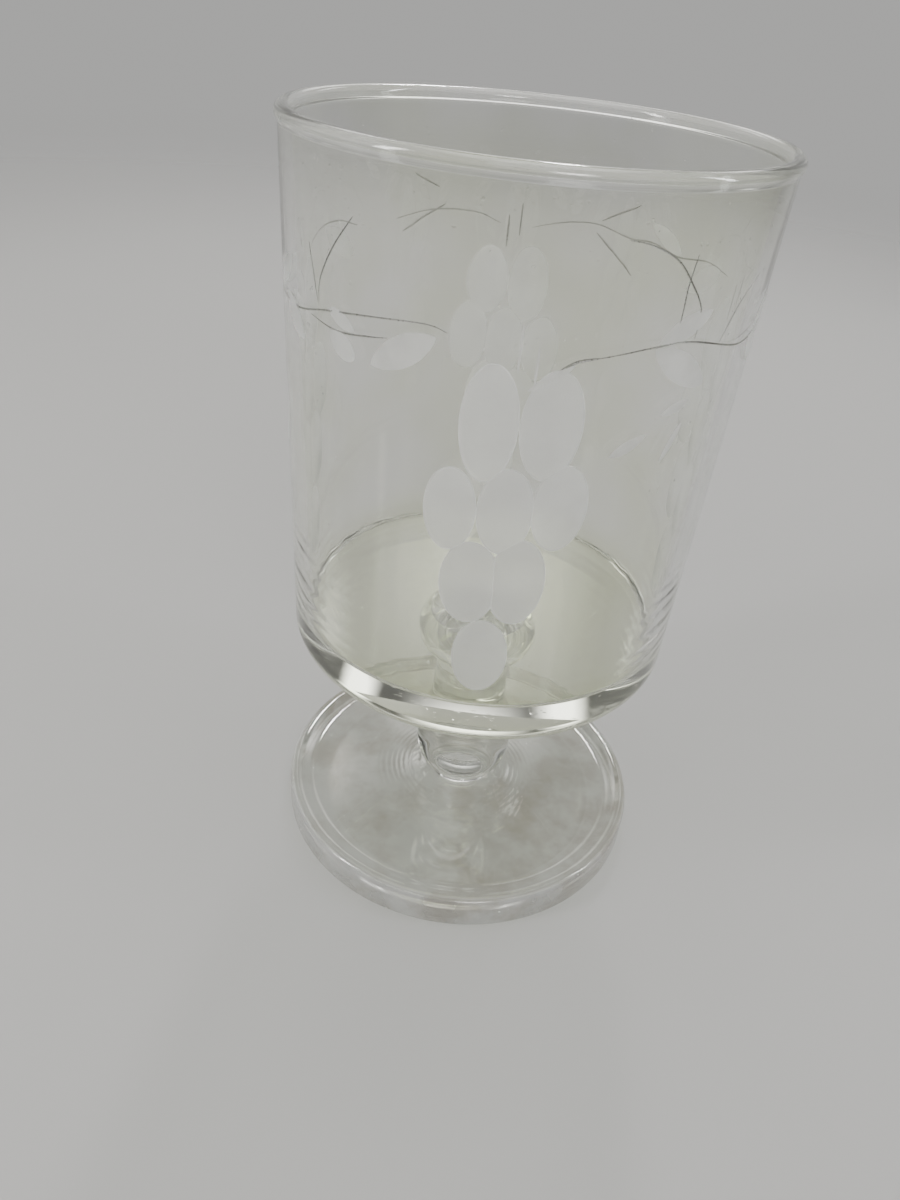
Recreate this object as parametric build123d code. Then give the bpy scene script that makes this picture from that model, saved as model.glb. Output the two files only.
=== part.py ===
from build123d import *
import math
import os

# Stemmed wine glass with a straight-sided bowl and cut grape bunches.
# Millimetres, +Z up, origin at the centre of the foot's underside, front of the glass towards -Y.

# --- foot: a pressed disc with a rounded, slightly raised lip ---
FOOT_RADIUS = 34.5
FOOT_EDGE_HEIGHT = 6.8
FOOT_EDGE_ROUNDING = 1.3
FOOT_BOTTOM_ROUNDING = 0.9
REST_RING_INNER_RADIUS = 27.0
UNDERSIDE_HOLLOW_DEPTH = 1.1
LIP_INNER_RADIUS = 31.2
VALLEY_RADIUS = 29.6
VALLEY_HEIGHT = 5.7
FOOT_NECK_RADIUS = 5.9
FOOT_NECK_HEIGHT = 8.4

# --- stem: a ball knop on the foot, a waist, and a flattened cushion knop under the bowl ---
BALL_RADIUS = 9.4
BALL_HEIGHT = 15.6
WAIST_RADIUS = 6.9
WAIST_HEIGHT = 27.6
CUSHION_RADIUS = 10.8
CUSHION_HALF_HEIGHT = 6.3
CUSHION_HEIGHT = 39.1

# --- bowl: thick flat base, thin wall that opens out slightly, fire-polished bead at the rim ---
TOTAL_HEIGHT = 127.0
BOWL_UNDERSIDE_HEIGHT = 42.7
BOWL_FLAT_RADIUS = 30.3
HEEL_TOP_HEIGHT = 46.6
HEEL_TOP_RADIUS = 33.2
WALL_TOP_RADIUS = 35.1
RIM_RADIUS = 35.5
BEAD_DIAMETER = 2.26
BEAD_TURN_IN = -25
BEAD_BLEND_HEIGHT = 2.25
WALL_AT_RIM = 1.7
WALL_AT_FLOOR = 2.3
FLOOR_HEIGHT = 49.7
FLOOR_CROWN = 0.4
FLOOR_CORNER_RADIUS = 1.2

# --- grape bunches, ground into the outside of the wall with flat-faced wheels ---
BUNCH_COUNT = 4
FIRST_BUNCH_TURN = 3.0
# Each grape of a bunch: angle about the bunch's middle, height, half width, half height.
GRAPES = [
    (-5.7, 97.0, 3.75, 7.9),
    (7.3, 97.4, 4.0, 7.4),
    (-12.3, 84.4, 3.6, 6.2),
    (0.0, 85.0, 3.75, 6.4),
    (12.0, 85.9, 3.8, 6.4),
    (-6.2, 73.4, 4.2, 6.7),
    (4.8, 74.1, 4.0, 7.0),
    (-1.6, 60.9, 4.05, 6.5),
]
# The bunch at the back was cut with a shorter top pair.
BACK_BUNCH = 2
BACK_TOP_PAIR = [(-5.7, 95.9, 3.75, 6.8), (7.3, 96.1, 4.0, 6.1)]
WHEEL_WIDTH = 14.0


def wall_radius(height):
    """Radius of the outside of the bowl's wall."""
    share = (height - HEEL_TOP_HEIGHT) / (TOTAL_HEIGHT - HEEL_TOP_HEIGHT)
    return HEEL_TOP_RADIUS + share * (WALL_TOP_RADIUS - HEEL_TOP_RADIUS)


def turned(*outline):
    """The solid turned about the Z axis from a closed outline in the XZ plane."""
    with BuildSketch(Plane.XZ) as half:
        with BuildLine():
            for edge in outline:
                add(edge)
        make_face()
    return revolve(half.sketch, Axis.Z)


def make_foot():
    top_of_side = FOOT_EDGE_HEIGHT - FOOT_EDGE_ROUNDING
    lip_radius = FOOT_RADIUS - FOOT_EDGE_ROUNDING
    hollow = ThreePointArc(
        (0, UNDERSIDE_HOLLOW_DEPTH),
        (REST_RING_INNER_RADIUS / 2, UNDERSIDE_HOLLOW_DEPTH * 0.75),
        (REST_RING_INNER_RADIUS, 0),
    )
    rest_ring = Line((REST_RING_INNER_RADIUS, 0), (FOOT_RADIUS - FOOT_BOTTOM_ROUNDING, 0))
    bottom_round = RadiusArc(
        (FOOT_RADIUS - FOOT_BOTTOM_ROUNDING, 0), (FOOT_RADIUS, FOOT_BOTTOM_ROUNDING), -FOOT_BOTTOM_ROUNDING
    )
    side = Line((FOOT_RADIUS, FOOT_BOTTOM_ROUNDING), (FOOT_RADIUS, top_of_side))
    lip = RadiusArc((FOOT_RADIUS, top_of_side), (lip_radius, FOOT_EDGE_HEIGHT), -FOOT_EDGE_ROUNDING)
    lip_slope = Spline(
        (lip_radius, FOOT_EDGE_HEIGHT),
        (LIP_INNER_RADIUS, (FOOT_EDGE_HEIGHT + VALLEY_HEIGHT) / 2),
        (VALLEY_RADIUS, VALLEY_HEIGHT),
        tangents=[(-1, 0), (-1, 0.0)],
    )
    rise = Spline(
        (VALLEY_RADIUS, VALLEY_HEIGHT),
        (FOOT_RADIUS / 2, VALLEY_HEIGHT + 0.75),
        (FOOT_NECK_RADIUS + 3.5, VALLEY_HEIGHT + 1.6),
        (FOOT_NECK_RADIUS, FOOT_NECK_HEIGHT),
        tangents=[(-1, 0.0), (-0.6, 1)],
    )
    neck_face = Line((FOOT_NECK_RADIUS, FOOT_NECK_HEIGHT), (0, FOOT_NECK_HEIGHT))
    axis = Line((0, FOOT_NECK_HEIGHT), (0, UNDERSIDE_HOLLOW_DEPTH))
    return turned(hollow, rest_ring, bottom_round, side, lip, lip_slope, rise, neck_face, axis)


def on_round(radius, half_height, height, angle):
    """A point on a round or oval profile and the direction the profile runs in there, going up."""
    turn = math.radians(angle)
    point = (radius * math.cos(turn), height + half_height * math.sin(turn))
    return point, (-radius * math.sin(turn), half_height * math.cos(turn))


def make_stem():
    neck = (FOOT_NECK_RADIUS, FOOT_NECK_HEIGHT)
    ball_low, ball_low_way = on_round(BALL_RADIUS, BALL_RADIUS, BALL_HEIGHT, -42)
    ball_middle, _ = on_round(BALL_RADIUS, BALL_RADIUS, BALL_HEIGHT, 0)
    ball_high, ball_high_way = on_round(BALL_RADIUS, BALL_RADIUS, BALL_HEIGHT, 30)
    waist = (WAIST_RADIUS, WAIST_HEIGHT)
    cushion = (CUSHION_RADIUS, CUSHION_HALF_HEIGHT, CUSHION_HEIGHT)
    top_angle = math.degrees(math.asin((BOWL_UNDERSIDE_HEIGHT - CUSHION_HEIGHT) / CUSHION_HALF_HEIGHT))
    cushion_low, cushion_low_way = on_round(*cushion, -42)
    stem_top, stem_top_way = on_round(*cushion, top_angle)
    cushion_points = [on_round(*cushion, angle)[0] for angle in (-28, -14, 0, top_angle / 2)]
    return turned(
        Line((0, FOOT_NECK_HEIGHT), neck),
        Spline(neck, ball_low, tangents=[(0.3, 1), ball_low_way]),
        ThreePointArc(ball_low, ball_middle, ball_high),
        Spline(ball_high, waist, tangents=[ball_high_way, (0, 1)]),
        Spline(waist, cushion_low, tangents=[(0, 1), cushion_low_way]),
        Spline(cushion_low, *cushion_points, stem_top, tangents=[cushion_low_way, stem_top_way]),
        Line(stem_top, (0, BOWL_UNDERSIDE_HEIGHT)),
        Line((0, BOWL_UNDERSIDE_HEIGHT), (0, FOOT_NECK_HEIGHT)),
    )


def make_plain_bowl():
    bead_radius = BEAD_DIAMETER / 2
    bead_centre = (RIM_RADIUS - bead_radius, TOTAL_HEIGHT - bead_radius)
    wall_way = (WALL_TOP_RADIUS - HEEL_TOP_RADIUS, TOTAL_HEIGHT - HEEL_TOP_HEIGHT)
    below_bead = TOTAL_HEIGHT - BEAD_BLEND_HEIGHT
    outer_top = (wall_radius(below_bead), below_bead)
    inner_top = (wall_radius(below_bead) - WALL_AT_RIM, below_bead)
    inner_low = (HEEL_TOP_RADIUS - WALL_AT_FLOOR, FLOOR_HEIGHT + FLOOR_CORNER_RADIUS)
    floor_edge = (inner_low[0] - FLOOR_CORNER_RADIUS, FLOOR_HEIGHT)
    (bead_reach, bead_out_height), bead_out_way = on_round(
        bead_radius, bead_radius, bead_centre[1], BEAD_TURN_IN
    )
    bead_out = (bead_centre[0] + bead_reach, bead_out_height)
    bead_in = (bead_centre[0] - bead_radius, bead_centre[1])
    inner_way = (inner_low[0] - inner_top[0], inner_low[1] - inner_top[1])
    return turned(
        Line((0, BOWL_UNDERSIDE_HEIGHT), (BOWL_FLAT_RADIUS, BOWL_UNDERSIDE_HEIGHT)),
        Spline(
            (BOWL_FLAT_RADIUS, BOWL_UNDERSIDE_HEIGHT),
            (HEEL_TOP_RADIUS, HEEL_TOP_HEIGHT),
            tangents=[(1, 0), wall_way],
        ),
        Line((HEEL_TOP_RADIUS, HEEL_TOP_HEIGHT), outer_top),
        Spline(outer_top, bead_out, tangents=[wall_way, bead_out_way]),
        ThreePointArc(bead_out, (bead_centre[0], TOTAL_HEIGHT), bead_in),
        Spline(bead_in, inner_top, tangents=[(0, -1), inner_way]),
        Line(inner_top, inner_low),
        Spline(inner_low, floor_edge, tangents=[inner_way, (-1, 0)]),
        Spline(floor_edge, (0, FLOOR_HEIGHT + FLOOR_CROWN), tangents=[(-1, 0), (-1, 0)]),
        Line((0, FLOOR_HEIGHT + FLOOR_CROWN), (0, BOWL_UNDERSIDE_HEIGHT)),
    )


def grinding_wheel(turn, height, half_width, half_height):
    """The flat-faced wheel whose bite leaves one oval grape on the outside of the wall."""
    wall = wall_radius(height)
    depth = half_width**2 / (2 * wall)
    wheel_radius = half_height**2 / (2 * depth)
    wall_slope = math.degrees(math.atan2(WALL_TOP_RADIUS - HEEL_TOP_RADIUS, TOTAL_HEIGHT - HEEL_TOP_HEIGHT))
    wheel = Cylinder(wheel_radius, WHEEL_WIDTH, rotation=(0, 90, 0))
    wheel = Pos(0, -(wheel_radius - depth), 0) * wheel
    wheel = Pos(0, -wall, height) * Rot(-wall_slope, 0, 0) * wheel
    return Rot(0, 0, turn) * wheel


def make_bowl():
    # The wall's closing seam is turned half way between two bunches, clear of every cut.
    bowl = Rot(0, 0, FIRST_BUNCH_TURN + 180 / BUNCH_COUNT) * make_plain_bowl()
    for bunch in range(BUNCH_COUNT):
        bunch_turn = FIRST_BUNCH_TURN + 360 / BUNCH_COUNT * bunch
        grapes = BACK_TOP_PAIR + GRAPES[2:] if bunch == BACK_BUNCH else GRAPES
        for angle, height, half_width, half_height in grapes:
            bowl -= grinding_wheel(bunch_turn + angle, height, half_width, half_height)
    return bowl


def save(part, name):
    part.label = name
    export_step(part, os.path.join("parts", name + ".step"))
    print(name, round(part.volume, 1), "mm3", part.is_valid, len(part.solids()))


os.makedirs("parts", exist_ok=True)
save(make_foot(), "foot")
save(make_stem(), "stem")
save(make_bowl(), "bowl")
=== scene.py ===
import math

import bpy
import numpy as np
from mathutils import Matrix, Vector
from mathutils.geometry import delaunay_2d_cdt


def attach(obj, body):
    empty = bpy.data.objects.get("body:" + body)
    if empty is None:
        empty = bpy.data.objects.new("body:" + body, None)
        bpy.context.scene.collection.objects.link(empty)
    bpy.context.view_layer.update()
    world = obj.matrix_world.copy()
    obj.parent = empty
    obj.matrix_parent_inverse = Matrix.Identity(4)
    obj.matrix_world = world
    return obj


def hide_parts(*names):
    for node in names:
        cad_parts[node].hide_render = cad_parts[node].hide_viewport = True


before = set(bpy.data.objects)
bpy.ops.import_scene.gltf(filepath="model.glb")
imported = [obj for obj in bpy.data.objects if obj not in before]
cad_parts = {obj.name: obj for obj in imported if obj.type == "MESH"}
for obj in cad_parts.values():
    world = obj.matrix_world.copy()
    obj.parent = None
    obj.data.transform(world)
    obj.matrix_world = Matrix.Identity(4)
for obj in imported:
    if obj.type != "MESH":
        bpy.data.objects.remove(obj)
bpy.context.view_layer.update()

# --- sizes, in millimetres ---
# Angles are in degrees about +Z from the front (-Y), growing towards +X.
FOOT_RADIUS = 34.5
FOOT_EDGE_HEIGHT = 6.8
FOOT_EDGE_ROUNDING = 1.3
FOOT_BOTTOM_ROUNDING = 0.9
REST_RING_INNER_RADIUS = 27.0
UNDERSIDE_HOLLOW_DEPTH = 1.1
VALLEY_RADIUS = 29.6
VALLEY_HEIGHT = 5.7
# Two places on the rise from the valley to the neck: radius, height above the valley, slope inwards.
GENTLE_RISE = (17.0, 0.75, 0.08)
STEEPER_RISE = (9.4, 1.6, 0.22)
NECK_RADIUS = 5.9
NECK_HEIGHT = 8.4
# Chill ripples: fine rings left in the hot glass round the stem.
CHILL_DEPTH = 0.010
CHILL_PERIOD = 1.05
CHILL_WANDER = 0.6
CHILL_ZONE = (6.6, 17.5)
CHILL_FADES = (1.2, 5.0)

BALL_RADIUS = 9.4
BALL_HEIGHT = 15.6
WAIST_RADIUS = 6.9
WAIST_HEIGHT = 27.6
CUSHION_RADIUS = 10.8
CUSHION_HALF_HEIGHT = 6.3
CUSHION_HEIGHT = 39.1
# The part of each knop that is truly round, in degrees above its middle.
BALL_ROUND = (-42.0, 30.0)
CUSHION_ROUND_FROM = -42.0

TOTAL_HEIGHT = 127.0
UNDERSIDE_HEIGHT = 42.7
CUSHION_TOP_ANGLE = math.degrees(math.asin((UNDERSIDE_HEIGHT - CUSHION_HEIGHT) / CUSHION_HALF_HEIGHT))
STEM_TOP_RADIUS = CUSHION_RADIUS * math.cos(math.radians(CUSHION_TOP_ANGLE))
BOWL_FLAT_RADIUS = 30.3
HEEL_TOP_HEIGHT = 46.6
HEEL_TOP_RADIUS = 33.2
WALL_TOP_RADIUS = 35.1
RIM_RADIUS = 35.5
BEAD_DIAMETER = 2.26
BEAD_TURN_IN = -25.0
BEAD_BLEND_HEIGHT = 2.25
WALL_AT_RIM = 1.7
WALL_AT_FLOOR = 2.3
FLOOR_HEIGHT = 49.7
FLOOR_CROWN = 0.4
FLOOR_CORNER_RADIUS = 1.2

# Fine rings that the plunger left low on the inside of the bowl, not quite evenly spaced.
RIPPLED_WALL = (FLOOR_HEIGHT + FLOOR_CORNER_RADIUS, 70.0)
RIPPLE_FADES = (1.5, 12.0)
RIPPLE_DEPTH = 0.02
RIPPLE_PERIOD = 2.8
RIPPLE_WANDER = 1.1
WANDER_HEIGHT = 1.7
RIPPLE_SWAY = 0.5

# Width of the band of painted highlight just inside a grape's outline and along the ridges between grapes.
EDGE_BAND = 0.17
# A grape's facet is shaded as if it were this many times hollower than it is cut.
HOLLOW_LOOK = 3.0

# How finely the three pieces are meshed.
WALL_COLUMNS = 240
WALL_ROWS = 40
STEM_COLUMNS = 160
FOOT_COLUMNS = 256
LEAF_MESH_STEP = 0.4
CLEAR_OF_EDGES = 0.28
SLOPE_STEP = 0.02

# The part of the wall that holds the cuts, the seam where it is unrolled and the radius it is unrolled at.
CUT_BAND = (50.0, 122.0)
SEAM_ANGLE = 230.0
UNROLL_RADIUS = 34.0

# --- cut decoration ---
FRONT_BUNCH_ANGLE = 3.0
BACK_BUNCH_ANGLE = 183.0
BUNCH_ANGLES = (FRONT_BUNCH_ANGLE, 93.0, BACK_BUNCH_ANGLE, 273.0)
# Each grape of a bunch: angle about the bunch's middle, height, half width, half height.
GRAPES = [
    (-5.7, 97.0, 3.75, 7.9),
    (7.3, 97.4, 4.0, 7.4),
    (-12.3, 84.4, 3.6, 6.2),
    (0.0, 85.0, 3.75, 6.4),
    (12.0, 85.9, 3.8, 6.4),
    (-6.2, 73.4, 4.2, 6.7),
    (4.8, 74.1, 4.0, 7.0),
    (-1.6, 60.9, 4.05, 6.5),
]
# The bunch at the back was cut with a shorter top pair.
BACK_TOP_PAIR = [(-5.7, 95.9, 3.75, 6.8), (7.3, 96.1, 4.0, 6.1)]
# Leaves: base and tip (angle, height), half width, and how pointed the ends are (0.5 = oval, 1 = sharp).
LEAVES = [
    ((-15.0, 106.8), (-29.8, 101.3), 1.95, 0.8),
    ((-41.8, 103.5), (-34.4, 101.0), 1.6, 0.55),
    ((-42.5, 106.4), (-34.5, 104.7), 1.0, 0.8),
    ((29.6, 107.3), (46.0, 101.6), 1.9, 0.8),
    ((30.2, 107.9), (43.0, 111.4), 1.5, 0.8),
    ((35.0, 98.3), (42.6, 99.9), 0.75, 0.8),
    ((24.0, 93.2), (32.2, 95.9), 0.85, 0.8),
    ((38.0, 91.4), (42.1, 96.9), 0.55, 0.8),
    ((66.0, 107.0), (75.0, 110.8), 1.4, 0.8),
    ((64.0, 106.0), (74.5, 101.0), 1.7, 0.8),
    ((109.0, 107.3), (124.0, 102.0), 1.8, 0.8),
    ((128.0, 106.6), (140.5, 110.0), 1.3, 0.8),
    ((-64.0, 105.0), (-53.0, 100.2), 1.6, 0.8),
    ((-69.0, 105.4), (-60.0, 110.2), 1.3, 0.8),
    ((-107.5, 107.2), (-121.0, 101.8), 1.8, 0.8),
    ((4.2, 101.9), (13.0, 105.5), 0.5, 0.6),
]
LEAF_DEPTH = 0.06
LEAF_DEPTH_BY_WIDTH = 0.045
# Vines and fine strokes: points (angle, height), half width and depth.
LINES = [
    ([(10.1, 104.8), (13.4, 105.9), (17.8, 106.4)], 0.2, 0.11),
    ([(16.0, 106.2), (29.1, 107.5), (39.4, 107.7), (58.2, 105.6), (71.0, 106.8), (80.0, 107.4)], 0.13, 0.09),
    ([(39.4, 107.9), (39.2, 111.6), (34.6, 115.2), (30.0, 117.8), (23.8, 119.4), (18.9, 119.9)], 0.12, 0.08),
    ([(34.4, 107.9), (34.3, 111.8), (34.2, 114.7), (34.9, 118.3)], 0.11, 0.07),
    ([(48.0, 106.8), (52.5, 111.5), (58.5, 114.5)], 0.11, 0.07),
    ([(-12.4, 107.5), (-16.4, 108.1), (-23.2, 107.8), (-34.0, 106.9), (-43.9, 105.8), (-56.0, 104.1),
      (-69.0, 104.0), (-79.0, 103.7)], 0.13, 0.09),
    ([(-25.5, 105.3), (-30.6, 104.7), (-40.0, 103.9), (-50.0, 104.4)], 0.12, 0.07),
    ([(-46.2, 106.2), (-45.6, 109.4), (-41.3, 113.7), (-35.1, 118.2)], 0.12, 0.08),
    ([(-46.6, 106.4), (-48.0, 109.6), (-49.9, 113.4)], 0.12, 0.07),
    ([(178.5, 105.7), (169.6, 107.2), (159.0, 108.0), (147.6, 106.9), (139.4, 107.2), (129.5, 106.3),
      (116.0, 107.5), (104.0, 107.2)], 0.13, 0.09),
    ([(157.5, 108.6), (145.7, 112.5)], 0.19, 0.11),
    ([(158.7, 106.7), (144.3, 100.9)], 0.19, 0.11),
    ([(187.5, 105.9), (196.0, 107.6), (209.0, 107.9), (222.0, 106.6)], 0.13, 0.09),
    ([(205.6, 108.8), (219.7, 104.4)], 0.19, 0.11),
    ([(207.8, 111.5), (216.2, 113.8)], 0.17, 0.09),
    ([(237.0, 106.4), (247.0, 107.9), (259.0, 107.4), (266.0, 105.2)], 0.13, 0.09),
]
# The two short strokes above every bunch, as angle about its middle and the two heights.
STALK_STROKES = [(-1.2, 109.8, 104.0), (2.4, 107.6, 101.9)]
STROKE_HALF_WIDTH = 0.17
STROKE_DEPTH = 0.09
# How quickly strokes and lines run out at their ends; a smaller number keeps them wide for longer.
STROKE_RUN_OUT = 0.5
LINE_RUN_OUT = 0.35


def wall_radius(height):
    """Radius of the outside of the bowl's wall."""
    share = (height - HEEL_TOP_HEIGHT) / (TOTAL_HEIGHT - HEEL_TOP_HEIGHT)
    return HEEL_TOP_RADIUS + share * (WALL_TOP_RADIUS - HEEL_TOP_RADIUS)


WALL_SLOPE = (WALL_TOP_RADIUS - HEEL_TOP_RADIUS) / (TOTAL_HEIGHT - HEEL_TOP_HEIGHT)


# --- profile curves ---
def line(start, end, count):
    steps = np.linspace(0, 1, count + 1)[:, None]
    return np.array(start) * (1 - steps) + np.array(end) * steps


def arc(centre, radius, first, last, count, half_height=None):
    """Points round a circle or oval; angles in degrees from the outward direction, growing upwards."""
    turn = np.radians(np.linspace(first, last, count + 1))
    rise = radius if half_height is None else half_height
    return np.stack([centre[0] + radius * np.cos(turn), centre[1] + rise * np.sin(turn)], 1)


def ease(start, start_way, end, end_way, count):
    """A cubic from start to end that leaves and arrives in the given directions."""
    start, end = np.array(start, float), np.array(end, float)
    reach = np.linalg.norm(end - start)
    a = np.array(start_way, float) / np.linalg.norm(start_way) * reach
    b = np.array(end_way, float) / np.linalg.norm(end_way) * reach
    t = np.linspace(0, 1, count + 1)[:, None]
    return (
        start * (2 * t**3 - 3 * t**2 + 1)
        + a * (t**3 - 2 * t**2 + t)
        + end * (3 * t**2 - 2 * t**3)
        + b * (t**3 - t**2)
    )


def joined(*curves):
    """One run of points from curves that meet end to end."""
    return np.concatenate([curves[0]] + [curve[1:] for curve in curves[1:]])


def on_round(radius, half_height, height, angle):
    """A point on a round or oval profile and the way the profile runs there, going up."""
    turn = math.radians(angle)
    point = (radius * math.cos(turn), height + half_height * math.sin(turn))
    return point, (-radius * math.sin(turn), half_height * math.cos(turn))


# --- mesh building ---
class Shell:
    """A mesh under construction: points, faces, each face's material slot and each corner's normal."""

    def __init__(self):
        self.points = []
        self.faces = []
        self.slots = []
        self.normals = []

    def add_points(self, points):
        first = len(self.points)
        self.points.extend(map(tuple, points))
        return np.arange(first, first + len(points))

    def add_face(self, corners, normals, slot):
        self.faces.append(tuple(int(c) for c in corners))
        self.normals.extend(map(tuple, normals))
        self.slots.append(slot)

    def ring(self, radius, height, turn):
        """A circle of points, or the one point on the axis when the radius is nothing."""
        if np.max(radius) < 1e-6:
            return self.add_points([(0.0, 0.0, height)])
        level = np.full(len(turn), height)
        return self.add_points(np.stack([radius * np.sin(turn), -radius * np.cos(turn), level], 1))

    def turn_strip(self, profile, columns, first_angle, slot, start_ring=None, end_ring=None, wave=None):
        """Faces of a profile turned about the axis. The profile runs so that outside is on its right.

        A wave gives, for the columns' angles and a height, how far the surface is pushed out and how
        fast that grows upwards.
        """
        ways = np.gradient(profile, axis=0)
        ways /= np.linalg.norm(ways, axis=1)[:, None]
        turn = np.radians(first_angle) + np.arange(columns) * 2 * math.pi / columns
        shared = {0: start_ring, len(profile) - 1: end_ring}
        rings = []
        normals = []
        for i, ((radius, height), way) in enumerate(zip(profile, ways)):
            push, growth = (0.0, 0.0) if wave is None else wave(turn, height)
            ring = shared.get(i)
            rings.append(self.ring(radius + push, height, turn) if ring is None else ring)
            lean = np.full(columns, -way[0]) - growth * way[1]
            normals.append(np.stack([way[1] * np.sin(turn), -way[1] * np.cos(turn), lean], 1))
        for i in range(len(rings) - 1):
            low, high = rings[i], rings[i + 1]
            for k in range(columns):
                j = (k + 1) % columns
                if len(low) == 1:
                    corners = (low[0], high[j], high[k])
                    sides = ((0, 0, normals[i][k][2]), normals[i + 1][j], normals[i + 1][k])
                elif len(high) == 1:
                    corners = (low[k], low[j], high[0])
                    sides = (normals[i][k], normals[i][j], (0, 0, normals[i + 1][k][2]))
                else:
                    corners = (low[k], low[j], high[j], high[k])
                    sides = (normals[i][k], normals[i][j], normals[i + 1][j], normals[i + 1][k])
                self.add_face(corners, sides, slot)
        return rings

    def make(self, name, materials):
        mesh = bpy.data.meshes.new(name)
        mesh.from_pydata([tuple(c / 1000 for c in p) for p in self.points], [], self.faces)
        for material in materials:
            mesh.materials.append(material)
        mesh.polygons.foreach_set("material_index", np.array(self.slots, np.int32))
        mesh.polygons.foreach_set("use_smooth", np.ones(len(self.faces), bool))
        mesh.update()
        mesh.normals_split_custom_set([Vector(n).normalized() for n in self.normals])
        piece = bpy.data.objects.new(name, mesh)
        bpy.context.scene.collection.objects.link(piece)
        return piece


# --- the cuts in the bowl's wall ---
# The wall is unrolled to a plane: across = angle past the seam times UNROLL_RADIUS, up = height.
AROUND = 2 * math.pi * UNROLL_RADIUS
# The bowl's material slots, in the order of the materials given to make_bowl.
GLASS_SLOT, SATIN_SLOT, FINE_SLOT, JOINT_SLOT, EDGE_HIGHLIGHT_SLOT, LEAF_SLOT = range(6)
# The foot and the stem have just clear glass and a fused face.
FUSED_SLOT = 1


def across(angle):
    return math.radians((angle - SEAM_ANGLE) % 360.0) * UNROLL_RADIUS


class Grape:
    """A flat-faced wheel's bite: an oval facet, straight across and slightly hollow up and down."""

    def __init__(self, angle, height, half_width, half_height):
        self.slot = SATIN_SLOT
        self.middle = across(angle)
        self.height = height
        self.radius = wall_radius(height)
        self.bite = half_width**2 / (2 * self.radius)
        self.wheel = half_height**2 / (2 * self.bite)
        self.half_height = math.sqrt(self.wheel**2 - (self.wheel - self.bite) ** 2)
        self.half_width = math.acos(1 - self.bite / self.radius) * UNROLL_RADIUS

    def bite_at(self, up):
        lift = np.clip(up - self.height, -self.half_height, self.half_height)
        return self.bite - (self.wheel - np.sqrt(self.wheel**2 - lift**2))

    def depth(self, x, up):
        turn = (x - self.middle) / UNROLL_RADIUS
        radius = wall_radius(up)
        near = (np.abs(turn) < 0.3) & (np.abs(up - self.height) <= self.half_height)
        cut = radius - (radius - self.bite_at(up)) / np.cos(np.clip(turn, -0.3, 0.3))
        return np.where(near, cut, -1.0)

    def edge(self, count=64):
        steps = np.linspace(0, 2 * math.pi, count, endpoint=False)
        up = self.height + self.half_height * np.sin(steps)
        half_turn = np.arccos(np.clip(1 - self.bite_at(up) / wall_radius(up), -1, 1))
        x = self.middle + np.sign(np.cos(steps)) * half_turn * UNROLL_RADIUS
        return np.stack([x, up], 1)

    def inner_edge(self, count=64):
        """Where the band of painted highlight gives way to the satin facet."""
        steps = np.linspace(0, 2 * math.pi, count, endpoint=False)
        x = self.middle + (self.half_width - EDGE_BAND) * np.cos(steps)
        return np.stack([x, self.height + (self.half_height - EDGE_BAND) * np.sin(steps)], 1)

    def on_edge(self, x, up):
        side = (x - self.middle) / (self.half_width - EDGE_BAND)
        return np.hypot(side, (up - self.height) / (self.half_height - EDGE_BAND)) > 1

    def normals(self, x, up):
        turn = self.middle / UNROLL_RADIUS + math.radians(SEAM_ANGLE)
        lift = np.clip(up - self.height, -self.half_height, self.half_height)
        slope = WALL_SLOPE + HOLLOW_LOOK * lift / np.sqrt(self.wheel**2 - lift**2)
        flat = np.ones_like(up)
        return np.stack([flat * math.sin(turn), -flat * math.cos(turn), -slope], 1)


def ridge(a, b):
    """The line where two overlapping grape facets meet."""
    low = max(a.height - a.half_height, b.height - b.half_height)
    high = min(a.height + a.half_height, b.height + b.half_height)
    gap = b.middle - a.middle
    if high <= low or not 0.5 < abs(gap) < 12:
        return None
    up = np.linspace(low, high, 200)
    radius = wall_radius(up)
    difference = b.bite_at(up) - a.bite_at(up)
    x = (a.middle + b.middle) / 2 - difference * UNROLL_RADIUS**2 / (radius * gap)
    inside = (a.depth(x, up) > -2e-4) & (b.depth(x, up) > -2e-4)
    if inside.sum() < 8:
        return None
    x, up = x[inside], up[inside]
    keep = np.unique(np.linspace(0, len(x) - 1, 14).astype(int))
    return np.stack([x[keep], up[keep]], 1)


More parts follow.
